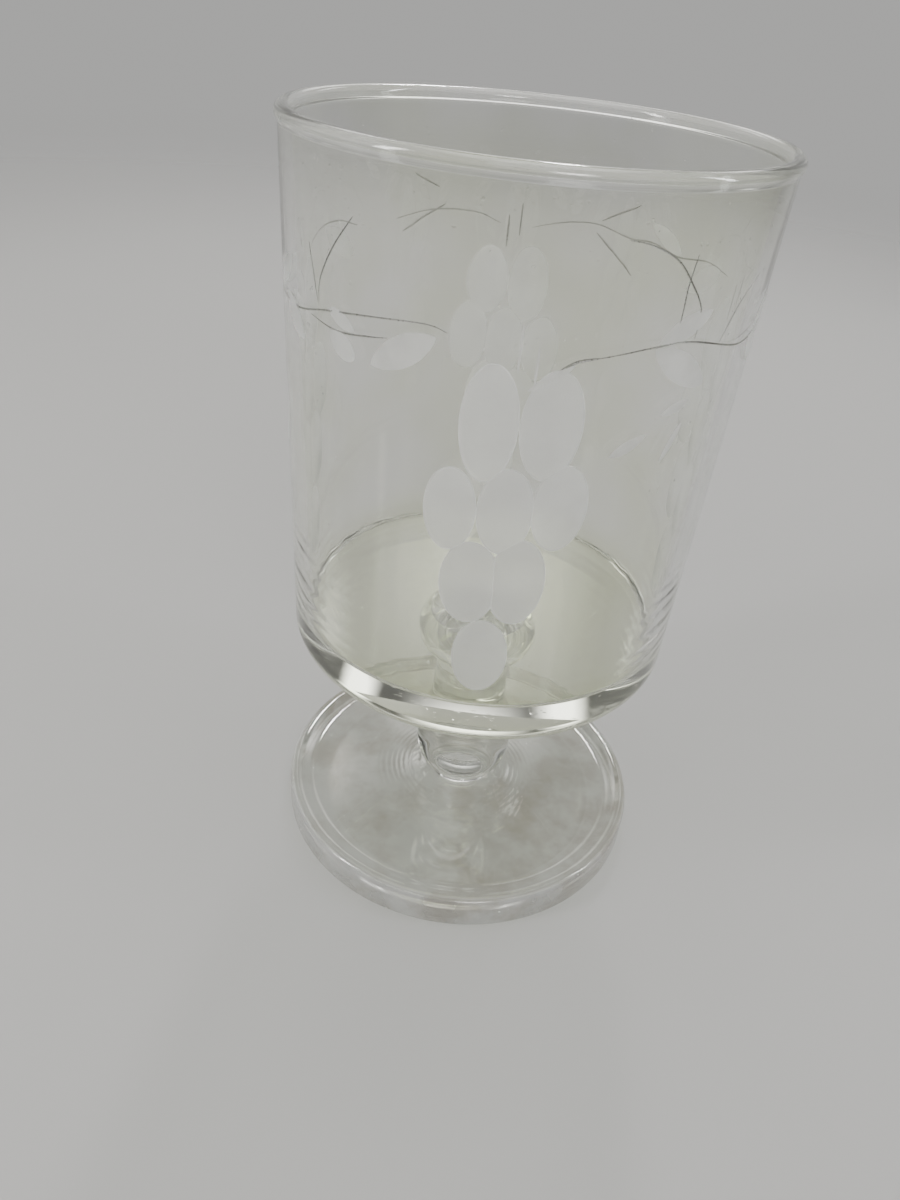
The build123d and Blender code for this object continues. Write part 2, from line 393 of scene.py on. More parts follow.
class Groove:
    """A cut that follows a path, widest half way along and running out to nothing at both ends.

    A round-bottomed groove is a leaf; any other has two flat sides that meet along the path.
    """

    def __init__(self, path, half_width, deepest, slot, run_out, round_bottom):
        self.path = path
        self.half_width = half_width
        self.deepest = deepest
        self.slot = slot
        self.run_out = run_out
        self.round_bottom = round_bottom
        steps = np.linalg.norm(np.diff(path, axis=0), axis=1)
        self.along = np.concatenate([[0], np.cumsum(steps)]) / steps.sum()

    def width_at(self, share):
        """Half width at a share of the length; nothing at both ends."""
        bulge = np.clip(4 * share * (1 - share), 0, 1)
        return self.half_width * bulge**self.run_out

    def measure(self, x, up):
        """Distance from the path and the share of the length, for each point."""
        best = np.full(len(x), np.inf)
        share = np.zeros(len(x))
        for i in range(len(self.path) - 1):
            a, b = self.path[i], self.path[i + 1]
            way = b - a
            t = np.clip(((x - a[0]) * way[0] + (up - a[1]) * way[1]) / (way @ way), 0, 1)
            distance = np.hypot(x - a[0] - t * way[0], up - a[1] - t * way[1])
            nearer = distance < best
            best = np.where(nearer, distance, best)
            share = np.where(nearer, self.along[i] + t * (self.along[i + 1] - self.along[i]), share)
        return best, share

    def depth(self, x, up):
        result = np.full(len(x), -1.0)
        low, high = self.path.min(0) - 2.5, self.path.max(0) + 2.5
        near = (x > low[0]) & (x < high[0]) & (up > low[1]) & (up < high[1])
        if not near.any():
            return result
        distance, share = self.measure(x[near], up[near])
        width = np.maximum(self.width_at(share), 1e-6)
        relative = distance / width
        shape = 1 - relative**2 if self.round_bottom else 1 - relative
        result[near] = np.where(relative < 3, self.deepest * width / self.half_width * shape, -1.0)
        return result

    def edge(self):
        """The closed outline: out along one side and back along the other."""
        ways = np.gradient(self.path, axis=0)
        ways /= np.linalg.norm(ways, axis=1)[:, None]
        side = np.stack([-ways[:, 1], ways[:, 0]], 1) * self.width_at(self.along)[:, None]
        return np.concatenate([self.path + side, (self.path - side)[-2:0:-1]])

    def normals(self, x, up):
        step = SLOPE_STEP
        slope_x = (self.depth(x + step, up) - self.depth(x - step, up)) / (2 * step)
        slope_up = (self.depth(x, up + step) - self.depth(x, up - step)) / (2 * step)
        turn = x / UNROLL_RADIUS + math.radians(SEAM_ANGLE)
        tilt = slope_x * UNROLL_RADIUS / wall_radius(up)
        out_x = np.sin(turn) + tilt * np.cos(turn)
        out_y = -np.cos(turn) + tilt * np.sin(turn)
        return np.stack([out_x, out_y, slope_up - WALL_SLOPE], 1)


def smooth_path(points, count):
    """A Catmull-Rom curve through the given points, at even steps."""
    points = np.array(points, float)
    if len(points) == 2:
        return line(points[0], points[1], count)
    padded = np.vstack([2 * points[0] - points[1], points, 2 * points[-1] - points[-2]])
    dense = []
    for i in range(1, len(padded) - 2):
        a, b, c, d = padded[i - 1 : i + 3]
        t = np.linspace(0, 1, 24, endpoint=False)[:, None]
        dense.append(
            0.5 * (2 * b + (c - a) * t + (2 * a - 5 * b + 4 * c - d) * t**2 + (3 * b - a - 3 * c + d) * t**3)
        )
    dense = np.vstack(dense + [points[-1:]])
    length = np.concatenate([[0], np.cumsum(np.linalg.norm(np.diff(dense, axis=0), axis=1))])
    even = np.linspace(0, length[-1], count + 1)
    return np.stack([np.interp(even, length, dense[:, 0]), np.interp(even, length, dense[:, 1])], 1)


def unrolled(points):
    return [(across(angle), height) for angle, height in points]


def all_cuts():
    """The grapes, and the leaves, vines and strokes."""
    grapes = []
    grooves = []
    for bunch in BUNCH_ANGLES:
        bunch_grapes = BACK_TOP_PAIR + GRAPES[2:] if bunch == BACK_BUNCH_ANGLE else GRAPES
        for angle, height, half_width, half_height in bunch_grapes:
            grapes.append(Grape(bunch + angle, height, half_width, half_height))
        for angle, top, bottom in STALK_STROKES:
            path = smooth_path(unrolled([(bunch + angle, top), (bunch + angle, bottom)]), 14)
            slot = LEAF_SLOT if bunch == FRONT_BUNCH_ANGLE else FINE_SLOT
            grooves.append(Groove(path, STROKE_HALF_WIDTH, STROKE_DEPTH, slot, STROKE_RUN_OUT, False))
    for base, tip, half_width, point in LEAVES:
        path = smooth_path(unrolled([base, tip]), 22)
        depth = LEAF_DEPTH + LEAF_DEPTH_BY_WIDTH * half_width
        grooves.append(Groove(path, half_width, depth, LEAF_SLOT, point, True))
    for points, half_width, deepest in LINES:
        path = smooth_path(unrolled(points), 12 * len(points))
        grooves.append(Groove(path, half_width, deepest, FINE_SLOT, LINE_RUN_OUT, False))
    return grapes, grooves


class Drawing:
    """Points on the unrolled wall, and edges between them that the wall's triangles keep to."""

    def __init__(self):
        self.points = []
        self.edges = []

    def add_run(self, points, closed=False):
        first = len(self.points)
        last = first + len(points) - 1
        self.points.extend(map(tuple, points))
        self.edges.extend((i, i + 1) for i in range(first, last))
        if closed:
            self.edges.append((last, first))


def find_ridges(grapes):
    """The ridges between overlapping grapes, each with the numbers of its two grapes."""
    ridges = []
    for i, a in enumerate(grapes):
        for k, b in enumerate(grapes[i + 1 :], i + 1):
            between = ridge(a, b)
            if between is not None:
                ridges.append((i, k, between))
    return ridges


def draw_border(drawing, columns, rows):
    border = [(x, rows[0]) for x in columns]
    border += [(AROUND, up) for up in rows[1:]]
    border += [(x, rows[-1]) for x in columns[-2::-1]]
    border += [(0.0, up) for up in rows[-2:0:-1]]
    drawing.add_run(border, closed=True)


def draw_cuts(drawing, cuts, ridges):
    """Draw every outline and ridge. Returns the points that the filling points stay clear of."""
    fixed = []
    for cut in cuts:
        runs = [(cut.edge(), True)]
        if isinstance(cut, Grape):
            runs.append((cut.inner_edge(), True))
        elif not cut.round_bottom:
            runs.append((cut.path, False))
        for points, closed in runs:
            drawing.add_run(points, closed)
            fixed.append(points)
    for _, _, between in ridges:
        for shift in (-EDGE_BAND / 2, 0.0, EDGE_BAND / 2):
            drawing.add_run(between + (shift, 0.0))
        fixed.append(between)
    return np.concatenate(fixed)


def grid_points(across_steps, up_steps):
    x, up = np.meshgrid(across_steps, up_steps)
    return np.stack([x.ravel(), up.ravel()], 1)


def filling_points(grooves, fixed, columns, rows):
    """Points between the outlines: an even grid, finer inside the leaves."""
    grid = grid_points(columns[1:-1], rows[1:-1])
    for leaf in grooves:
        if not leaf.round_bottom:
            continue
        low, high = leaf.path.min(0) - 2, leaf.path.max(0) + 2
        fine = grid_points(*(np.arange(low[k], high[k], LEAF_MESH_STEP) for k in (0, 1)))
        grid = np.concatenate([grid, fine[leaf.depth(fine[:, 0], fine[:, 1]) > 0.0]])
    gaps = [np.hypot(*(fixed - point).T).min() for point in grid]
    return grid[np.array(gaps) > CLEAR_OF_EDGES]


def joined_at_seam(flat):
    """For each point, the number of the point it is one with: the wall's two ends meet at the seam."""
    same = np.arange(len(flat))
    left = np.flatnonzero(flat[:, 0] < 1e-4)
    for i in np.flatnonzero(flat[:, 0] > AROUND - 1e-4):
        same[i] = left[np.argmin(np.abs(flat[left, 1] - flat[i, 1]))]
    return same


def find_owners(cuts, points):
    """The number of the deepest cut at each point, or -1 on the plain wall."""
    owner = np.full(len(points), -1)
    best = np.full(len(points), 1e-5)
    for i, cut in enumerate(cuts):
        depth = cut.depth(points[:, 0], points[:, 1])
        owner = np.where(depth > best, i, owner)
        best = np.maximum(best, depth)
    return owner


def wall_normals(cuts, owner, flat, solid, triangles):
    """Shading normals at the corners of every triangle."""
    turn = flat[triangles, 0] / UNROLL_RADIUS + math.radians(SEAM_ANGLE)
    normals = np.stack([np.sin(turn), -np.cos(turn), np.full(turn.shape, -WALL_SLOPE)], 2)
    for i, cut in enumerate(cuts):
        mine = np.flatnonzero(owner == i)
        if not len(mine):
            continue
        if isinstance(cut, Groove) and not cut.round_bottom:
            a, b, c = (solid[triangles[mine, k]] for k in range(3))
            normals[mine] = np.cross(b - a, c - a)[:, None, :]
            continue
        corners = flat[triangles[mine]]
        if isinstance(cut, Groove):
            # Measured a little inside the triangle, so that the plain wall beside a leaf has no say.
            corners = 0.9 * corners + 0.1 * corners.mean(1, keepdims=True)
        corners = corners.reshape(-1, 2)
        normals[mine] = cut.normals(corners[:, 0], corners[:, 1]).reshape(-1, 3, 3)
    return normals


def wall_slots(cuts, ridges, owner, centres):
    """Each cut's own material, and a band of painted highlight inside every grape's outline and along every
    ridge.
    """
    x, up = centres.T
    slots = np.array([GLASS_SLOT] + [cut.slot for cut in cuts])[owner + 1]
    for i, cut in enumerate(cuts):
        if isinstance(cut, Grape):
            slots[(owner == i) & cut.on_edge(x, up)] = EDGE_HIGHLIGHT_SLOT
    for i, k, between in ridges:
        beside = np.abs(x - np.interp(up, between[:, 1], between[:, 0])) < EDGE_BAND / 2
        level = (up > between[0, 1]) & (up < between[-1, 1])
        slots[((owner == i) | (owner == k)) & level & beside] = EDGE_HIGHLIGHT_SLOT
    return slots


def border_ring(flat, numbers, height):
    """The wall's points at one height, in order round the glass from the seam."""
    row = np.flatnonzero(np.abs(flat[:, 1] - height) < 1e-4)
    return numbers[row[np.argsort(flat[row, 0])][:WALL_COLUMNS]]


def cut_wall(shell, low_height, high_height):
    """The band of the wall that holds the cuts. Returns its bottom and top rings of points."""
    grapes, grooves = all_cuts()
    cuts = grapes + grooves
    ridges = find_ridges(grapes)
    rows = np.linspace(low_height, high_height, WALL_ROWS + 1)
    columns = np.linspace(0, AROUND, WALL_COLUMNS + 1)
    drawing = Drawing()
    draw_border(drawing, columns, rows)
    fixed = draw_cuts(drawing, cuts, ridges)
    drawing.points.extend(map(tuple, filling_points(grooves, fixed, columns, rows)))
    points = [Vector(point) for point in drawing.points]
    flat, _, triangles, _, _, _ = delaunay_2d_cdt(points, drawing.edges, [], 0, 1e-5)
    flat = np.array([tuple(point) for point in flat], float)
    triangles = np.array([corners for corners in triangles if len(corners) == 3])

    deepest = np.zeros(len(flat))
    for cut in cuts:
        deepest = np.maximum(deepest, cut.depth(flat[:, 0], flat[:, 1]))
    radius = wall_radius(flat[:, 1]) - deepest
    turn = flat[:, 0] / UNROLL_RADIUS + math.radians(SEAM_ANGLE)
    solid = np.stack([radius * np.sin(turn), -radius * np.cos(turn), flat[:, 1]], 1)
    same = joined_at_seam(flat)
    used = np.unique(same)
    numbers = np.full(len(flat), -1)
    numbers[used] = shell.add_points(solid[used])
    numbers = numbers[same]

    centres = flat[triangles].mean(1)
    owner = find_owners(cuts, centres)
    normals = wall_normals(cuts, owner, flat, solid, triangles)
    slots = wall_slots(cuts, ridges, owner, centres)
    for face, sides, slot in zip(numbers[triangles], normals, slots):
        shell.add_face(face, sides, slot)
    return [border_ring(flat, numbers, height) for height in (low_height, high_height)]


# --- materials ---
# Colour of the painted reflection: a brown-grey painted into the glass in place of dark surroundings it
# would mirror.
DARK_REFLECTION_COLOUR = (0.62, 0.58, 0.5, 1)


class Nodes:
    """Short names for building the nodes of a material, the world or a light."""

    def __init__(self, owner, coordinates="Object"):
        owner.use_nodes = True
        self.owner = owner
        self.tree = owner.node_tree
        self.tree.nodes.clear()
        if coordinates is not None:
            self.place = self.node("TexCoord").outputs[coordinates]

    def node(self, kind, **settings):
        made = self.tree.nodes.new("ShaderNode" + kind)
        for key, value in settings.items():
            setattr(made, key, value)
        return made

    def put(self, socket, value):
        if isinstance(value, bpy.types.NodeSocket):
            self.tree.links.new(value, socket)
        else:
            socket.default_value = value

    def noise(self, scale, detail=2.0, roughness=0.5, stretch=None):
        texture = self.node("TexNoise")
        texture.inputs["Scale"].default_value = scale
        texture.inputs["Detail"].default_value = detail
        texture.inputs["Roughness"].default_value = roughness
        place = self.place
        if stretch is not None:
            mapping = self.node("Mapping")
            mapping.inputs["Scale"].default_value = stretch
            self.put(mapping.inputs["Vector"], place)
            place = mapping.outputs[0]
        self.put(texture.inputs["Vector"], place)
        return texture.outputs["Fac"]

    def ramp(self, value, low, high, to_low=0.0, to_high=1.0, kind="SMOOTHSTEP"):
        ranged = self.node("MapRange", interpolation_type=kind)
        self.put(ranged.inputs["Value"], value)
        ranged.inputs["From Min"].default_value = low
        ranged.inputs["From Max"].default_value = high
        ranged.inputs["To Min"].default_value = to_low
        ranged.inputs["To Max"].default_value = to_high
        return ranged.outputs["Result"]

    def maths(self, operation, a, b):
        made = self.node("Math", operation=operation)
        self.put(made.inputs[0], a)
        self.put(made.inputs[1], b)
        return made.outputs[0]

    def vector(self, operation, a, b=None):
        made = self.node("VectorMath", operation=operation)
        self.put(made.inputs[0], a)
        if b is not None:
            self.put(made.inputs[1], b)
        return made.outputs["Value" if operation in ("LENGTH", "DOT_PRODUCT") else "Vector"]

    def axes(self, vector):
        """The X, Y and Z outputs of a vector."""
        split = self.node("SeparateXYZ")
        self.put(split.inputs[0], vector)
        return split.outputs

    def blend(self, share, a, b):
        """A mix of two colours; these are the numbers of the mix node's colour sockets."""
        mix = self.node("Mix", data_type="RGBA")
        self.put(mix.inputs[0], share)
        self.put(mix.inputs[6], a)
        self.put(mix.inputs[7], b)
        return mix.outputs[2]

    def mix(self, share, first, second):
        """A mix of two shaders."""
        made = self.node("MixShader")
        self.put(made.inputs[0], share)
        self.put(made.inputs[1], first)
        self.put(made.inputs[2], second)
        return made.outputs[0]

    def bump(self, height, distance, strength=1.0, below=None):
        made = self.node("Bump")
        made.inputs["Distance"].default_value = distance
        self.put(made.inputs["Strength"], strength)
        self.put(made.inputs["Height"], height)
        if below is not None:
            self.put(made.inputs["Normal"], below)
        return made.outputs[0]

    def finish(self, shader, output="OutputMaterial"):
        self.put(self.node(output).inputs["Surface"], shader)
        return self.owner


def lamp_friendly(nodes, glass, clear_tint, edge_tint):
    """Glass for everything that is seen, and a tinted clear film for shadows and soft bounced light."""
    facing = nodes.node("LayerWeight")
    facing.inputs["Blend"].default_value = 0.35
    film = nodes.node("BsdfTransparent")
    nodes.put(film.inputs["Color"], nodes.blend(facing.outputs["Facing"], clear_tint, edge_tint))
    path = nodes.node("LightPath")
    share = nodes.maths("MAXIMUM", path.outputs["Is Shadow Ray"], path.outputs["Is Diffuse Ray"])
    return nodes.mix(share, glass, film.outputs[0])


def principled(nodes, colour, roughness, normal, transmission, ior=1.52):
    shader = nodes.node("BsdfPrincipled")
    nodes.put(shader.inputs["Base Color"], colour)
    nodes.put(shader.inputs["Roughness"], roughness)
    nodes.put(shader.inputs["IOR"], ior)
    nodes.put(shader.inputs["Transmission Weight"], transmission)
    nodes.put(shader.inputs["Normal"], normal)
    return shader.outputs[0]


def waviness(nodes, specks):
    """A normal for blown glass: soft waves, upright draw lines on the steep faces, and small specks."""
    wave = nodes.bump(nodes.noise(70, 1), 0.0003, 0.03)
    facing = nodes.axes(nodes.node("NewGeometry").outputs["Normal"])
    upright = nodes.ramp(nodes.maths("ABSOLUTE", facing["Z"], 0.0), 0.5, 0.1, 0.0, 0.12)
    drawn = nodes.noise(330, 1, 0.5, (1.0, 1.0, 0.05))
    wave = nodes.bump(drawn, 0.0001, upright, wave)
    return nodes.bump(specks, 0.00003, 0.5, wave)


def worn_zone(nodes, follows, start, full, most):
    """How far the milky film has set in, from nothing at the start to most where it is full."""
    if follows == "radius":
        along = nodes.vector("LENGTH", nodes.vector("MULTIPLY", nodes.place, (1, 1, 0)))
    else:
        along = nodes.axes(nodes.place)["Z"]
    uneven = nodes.ramp(nodes.noise(160, 3), 0.3, 0.7, 0.8, 1.1)
    return nodes.maths("MULTIPLY", nodes.ramp(along, start, full, 0.0, most), uneven)


def clear_glass(name, pale, tinted, tint_heights, haze, film=None, painted_reflection=0.0):
    """Clear glass: faint tint where it is thick, slight waviness, smears, specks and hairline scratches.

    A film is a milky, worn zone: the coordinate it follows ("height" or "radius"), where it starts and
    is complete, and how much of the light it stops. The last argument sets a painted reflection: a patchy
    brown-grey tone painted into the colour in place of the dark surroundings the glass would mirror.
    """
    nodes = Nodes(bpy.data.materials.new(name))
    thick = nodes.ramp(nodes.axes(nodes.place)["Z"], tint_heights[1], tint_heights[0])
    cloud = nodes.ramp(nodes.noise(45, 3), 0.35, 0.7)
    colour = nodes.blend(thick, pale, tinted)
    colour = nodes.blend(nodes.maths("MULTIPLY", cloud, 0.35), colour, tinted)
    # Painted reflection: patches of brown-grey painted into the colour, standing in for dark surroundings
    # seen in the glass.
    reflection_patches = nodes.ramp(nodes.noise(95, 4, 0.6), 0.42, 0.68, 0.0, painted_reflection)
    colour = nodes.blend(reflection_patches, colour, DARK_REFLECTION_COLOUR)
    smear = nodes.ramp(nodes.noise(60, 4, 0.6, (1.0, 1.0, 0.35)), 0.52, 0.75)
    specks = nodes.ramp(nodes.noise(900, 1), 0.74, 0.8)
    scratches = nodes.ramp(nodes.noise(260, 2, 0.5, (1.0, 1.0, 0.04)), 0.7, 0.76)
    rough = nodes.maths("MULTIPLY", smear, haze)
    rough = nodes.maths("ADD", rough, nodes.maths("MULTIPLY", specks, 0.2))
    rough = nodes.maths("ADD", rough, nodes.maths("MULTIPLY", scratches, 0.04))
    clearness = 1.0
    if film is not None:
        worn = worn_zone(nodes, *film)
        clearness = nodes.maths("SUBTRACT", 1.0, worn)
        rough = nodes.maths("ADD", rough, nodes.maths("MULTIPLY", worn, 0.5))
    glass = principled(nodes, colour, rough, waviness(nodes, specks), clearness)
    return nodes.finish(lamp_friendly(nodes, glass, (0.97, 0.975, 0.96, 1), (0.62, 0.64, 0.6, 1)))


def ground_glass(name, colour, other, roughness, clearness, glow, grain, lined):
    """Glass left satin by the grinding wheel: two tones in patches, fine grain and upright wheel lines.

    Clearness is the share of light let through, glow the share scattered to the other side, grain the
    depth of the grain in metres, and lined how strongly the wheel's lines show.
    """
    nodes = Nodes(bpy.data.materials.new(name))
    patch = nodes.ramp(nodes.noise(220, 4), 0.3, 0.7)
    shade = nodes.blend(patch, colour, other)
    lines_up = nodes.noise(900, 2, 0.5, (1.0, 1.0, 0.06))
    fine = nodes.noise(5200, 2)
    rough = nodes.ramp(fine, 0.3, 0.7, roughness - 0.05, roughness + 0.05)
    normal = nodes.bump(fine, grain, 0.6)
    normal = nodes.bump(lines_up, grain, lined, normal)
    glass = principled(nodes, shade, rough, normal, clearness)
    scatter = nodes.node("BsdfTranslucent")
    nodes.put(scatter.inputs["Color"], shade)
    nodes.put(scatter.inputs["Normal"], normal)
    uneven_glow = nodes.ramp(nodes.noise(70, 2), 0.35, 0.65, 0.6 * glow, 1.5 * glow)
    satin = nodes.mix(uneven_glow, glass, scatter.outputs[0])
    return nodes.finish(lamp_friendly(nodes, satin, (0.8, 0.81, 0.8, 1), (0.5, 0.51, 0.5, 1)))


def fused_face():
    """The hidden faces where two hot pieces of glass melted together: light passes straight through."""
    nodes = Nodes(bpy.data.materials.new("fused_glass_joint"))
    film = nodes.node("BsdfTransparent")
    nodes.put(film.inputs["Color"], nodes.blend(nodes.noise(300, 2), (1, 1, 1, 1), (0.99, 0.995, 0.985, 1)))
    return nodes.finish(film.outputs[0])


# --- the three pieces ---
def faded(place, zone, fades):
    """One inside a zone, running out to nothing over the given distances at its start and its end."""
    return np.clip((place - zone[0]) / fades[0], 0, 1) * np.clip((zone[1] - place) / fades[1], 0, 1)


def chill_ripples(radius):
    phase = 2 * math.pi * radius / CHILL_PERIOD + CHILL_WANDER * np.sin(radius)
    return CHILL_DEPTH * faded(radius, CHILL_ZONE, CHILL_FADES) * np.sin(phase)


def make_foot(glass, joint):
    shell = Shell()
    lip = FOOT_RADIUS - FOOT_EDGE_ROUNDING
    rest = FOOT_RADIUS - FOOT_BOTTOM_ROUNDING
    side_top = FOOT_EDGE_HEIGHT - FOOT_EDGE_ROUNDING
    hollow_r = np.linspace(0, REST_RING_INNER_RADIUS, 22)
    hollow = np.stack([hollow_r, UNDERSIDE_HOLLOW_DEPTH * (1 - (hollow_r / REST_RING_INNER_RADIUS) ** 2)], 1)
    outside = joined(
        hollow,
        line((REST_RING_INNER_RADIUS, 0), (rest, 0), 5),
        arc((rest, FOOT_BOTTOM_ROUNDING), FOOT_BOTTOM_ROUNDING, -90, 0, 6),
        line((FOOT_RADIUS, FOOT_BOTTOM_ROUNDING), (FOOT_RADIUS, side_top), 5),
        arc((lip, side_top), FOOT_EDGE_ROUNDING, 0, 90, 8),
        ease((lip, FOOT_EDGE_HEIGHT), (-1, 0), (VALLEY_RADIUS, VALLEY_HEIGHT), (-1, 0), 12),
    )
    gentle = (GENTLE_RISE[0], VALLEY_HEIGHT + GENTLE_RISE[1])
    gentle_way = (-1, GENTLE_RISE[2])
    steeper = (STEEPER_RISE[0], VALLEY_HEIGHT + STEEPER_RISE[1])
    steeper_way = (-1, STEEPER_RISE[2])
    rise = joined(
        ease((VALLEY_RADIUS, VALLEY_HEIGHT), (-1, 0), gentle, gentle_way, 16),
        ease(gentle, gentle_way, steeper, steeper_way, 60),
        ease(steeper, steeper_way, (NECK_RADIUS, NECK_HEIGHT), (-0.6, 1), 30),
    )
    rise[:, 1] += chill_ripples(rise[:, 0])
    rings = shell.turn_strip(outside, FOOT_COLUMNS, 0, GLASS_SLOT)
    rings = shell.turn_strip(rise, FOOT_COLUMNS, 0, GLASS_SLOT, start_ring=rings[-1])
    cap = line((NECK_RADIUS, NECK_HEIGHT), (0, NECK_HEIGHT), 3)
    shell.turn_strip(cap, FOOT_COLUMNS, 0, FUSED_SLOT, start_ring=rings[-1])
    return shell.make("goblet_foot", [glass, joint])


def make_stem(glass, joint):
    shell = Shell()
    neck = (NECK_RADIUS, NECK_HEIGHT)
    top = (STEM_TOP_RADIUS, UNDERSIDE_HEIGHT)
    ball = (BALL_RADIUS, BALL_RADIUS, BALL_HEIGHT)
    cushion = (CUSHION_RADIUS, CUSHION_HALF_HEIGHT, CUSHION_HEIGHT)
    ball_low, ball_low_way = on_round(*ball, BALL_ROUND[0])
    ball_high, ball_high_way = on_round(*ball, BALL_ROUND[1])
    cushion_low, cushion_low_way = on_round(*cushion, CUSHION_ROUND_FROM)
    waist = (WAIST_RADIUS, WAIST_HEIGHT)
    rings = shell.turn_strip(line((0, NECK_HEIGHT), neck, 3), STEM_COLUMNS, 0, FUSED_SLOT)
    outside = joined(
        ease(neck, (0.3, 1), ball_low, ball_low_way, 8),
        arc((0, BALL_HEIGHT), BALL_RADIUS, *BALL_ROUND, 24),
        ease(ball_high, ball_high_way, waist, (0, 1), 16),
        ease(waist, (0, 1), cushion_low, cushion_low_way, 16),
        arc(
            (0, CUSHION_HEIGHT), CUSHION_RADIUS, CUSHION_ROUND_FROM, CUSHION_TOP_ANGLE, 30,
            CUSHION_HALF_HEIGHT,
        ),
    )
    rings = shell.turn_strip(outside, STEM_COLUMNS, 0, GLASS_SLOT, start_ring=rings[-1])
    cap = line(top, (0, UNDERSIDE_HEIGHT), 3)
    shell.turn_strip(cap, STEM_COLUMNS, 0, FUSED_SLOT, start_ring=rings[-1])
    return shell.make("goblet_stem", [glass, joint])


def plunger_rings(turn, height):
    """Rings low on the inside of the wall, stronger at the glass's right and left than front and back.

    Returns how far the wall is pushed out at each column, and how fast that grows upwards.
    """
    depth = RIPPLE_DEPTH * faded(height, RIPPLED_WALL, RIPPLE_FADES) * (0.05 + 0.95 * np.sin(turn) ** 4)
    wander = RIPPLE_WANDER * math.sin(height / WANDER_HEIGHT)
    phase = 2 * math.pi * height / RIPPLE_PERIOD + wander + RIPPLE_SWAY * np.sin(2 * turn)
    rate = 2 * math.pi / RIPPLE_PERIOD + RIPPLE_WANDER / WANDER_HEIGHT * math.cos(height / WANDER_HEIGHT)
    return depth * np.sin(phase), depth * rate * np.cos(phase)


def make_bowl(materials):
    shell = Shell()
    bead = BEAD_DIAMETER / 2
    bead_centre = (RIM_RADIUS - bead, TOTAL_HEIGHT - bead)
    below_bead = TOTAL_HEIGHT - BEAD_BLEND_HEIGHT
    bead_out, bead_out_way = on_round(bead, bead, bead_centre[1], BEAD_TURN_IN)
    bead_out = (bead_out[0] + bead_centre[0], bead_out[1])
    wall_way = (WALL_SLOPE, 1)
    flat_edge = (BOWL_FLAT_RADIUS, UNDERSIDE_HEIGHT)
    heel_top = (HEEL_TOP_RADIUS, HEEL_TOP_HEIGHT)
    outer_top = (wall_radius(below_bead), below_bead)
    inner_top = (outer_top[0] - WALL_AT_RIM, below_bead)
    inner_low = (HEEL_TOP_RADIUS - WALL_AT_FLOOR, FLOOR_HEIGHT + FLOOR_CORNER_RADIUS)
    inner_way = (inner_low[0] - inner_top[0], inner_low[1] - inner_top[1])
    break_share = (inner_top[1] - RIPPLED_WALL[1]) / (inner_top[1] - inner_low[1])
    inner_break = (inner_top[0] + break_share * inner_way[0], RIPPLED_WALL[1])
    floor_edge = (inner_low[0] - FLOOR_CORNER_RADIUS, FLOOR_HEIGHT)
    low, high = CUT_BAND
    ring_low, ring_high = cut_wall(shell, low, high)
    turned = {"columns": WALL_COLUMNS, "first_angle": SEAM_ANGLE}
    joint_circle = (STEM_TOP_RADIUS, UNDERSIDE_HEIGHT)
    rings = shell.turn_strip(line((0, UNDERSIDE_HEIGHT), joint_circle, 3), slot=JOINT_SLOT, **turned)
    base = joined(
        line(joint_circle, flat_edge, 8),
        ease(flat_edge, (1, 0), heel_top, wall_way, 14),
        line(heel_top, (wall_radius(low), low), 2),
    )
    shell.turn_strip(base, slot=GLASS_SLOT, start_ring=rings[-1], end_ring=ring_low, **turned)
    upper = joined(
        line((wall_radius(high), high), outer_top, 1),
        ease(outer_top, wall_way, bead_out, bead_out_way, 9),
        arc(bead_centre, bead, BEAD_TURN_IN, 180, 22),
        ease((bead_centre[0] - bead, bead_centre[1]), (0, -1), inner_top, inner_way, 9),
        line(inner_top, inner_break, 14),
    )
    lower_wall = line(inner_break, inner_low, 90)
    floor = joined(
        ease(inner_low, inner_way, floor_edge, (-1, 0), 14),
        ease(floor_edge, (-1, 0), (0, FLOOR_HEIGHT + FLOOR_CROWN), (-1, 0), 12),
    )
    rings = shell.turn_strip(upper, slot=GLASS_SLOT, start_ring=ring_high, **turned)
    rings = shell.turn_strip(lower_wall, slot=GLASS_SLOT, start_ring=rings[-1], wave=plunger_rings, **turned)
    shell.turn_strip(floor, slot=GLASS_SLOT, start_ring=rings[-1], **turned)
    return shell.make("goblet_bowl", materials)


# --- studio ---
FLOOR_TONES = ((0.44, 0.437, 0.43, 1), (0.46, 0.457, 0.45, 1))
FLOOR_FADE = (0.3, 1.0)
# The backdrop's shade from straight down (0) to straight up (1), and its faint warmth.
BACKDROP = ((0.0, 0.45), (0.6, 0.45), (0.72, 0.16), (0.86, 0.1), (1.0, 0.18))
BACKDROP_WARMTH = (1.0, 0.995, 0.975)
# Dark screens round the table that only the glass sees: compass angle, half width, shade.
FLAGS = ((0.0, 24.0, 0.1), (110.0, 22.0, 0.03), (315.0, 20.0, 0.03))
FLAG_SOFTNESS = 13.0
WARM_WHITE = (1.0, 0.99, 0.97)
COOL_WHITE = (0.97, 0.99, 1.0)

# The viewpoint: close, above and in front, turned down 34 degrees and tilted 6 degrees. In metres.
CAMERA_PLACE = (0.0, -0.1408, 0.1428)
CAMERA_YAW = -2.22
CAMERA_PITCH = -34.12
CAMERA_ROLL = 5.87
CAMERA_LENS = 27.85


def make_floor():
    """A pale table top that melts into the backdrop."""
    bpy.ops.mesh.primitive_circle_add(vertices=96, radius=4.0, fill_type="NGON")
    floor = bpy.context.object
    floor.name = "studio_floor"
    nodes = Nodes(bpy.data.materials.new("pale_floor"))
    plain = nodes.node("BsdfDiffuse")
    nodes.put(plain.inputs["Color"], nodes.blend(nodes.ramp(nodes.noise(3.0, 2), 0.3, 0.7), *FLOOR_TONES))
    gone = nodes.node("BsdfTransparent")
    fade = nodes.ramp(nodes.vector("LENGTH", nodes.place), *FLOOR_FADE)
    floor.data.materials.append(nodes.finish(nodes.mix(fade, plain.outputs[0], gone.outputs[0])))


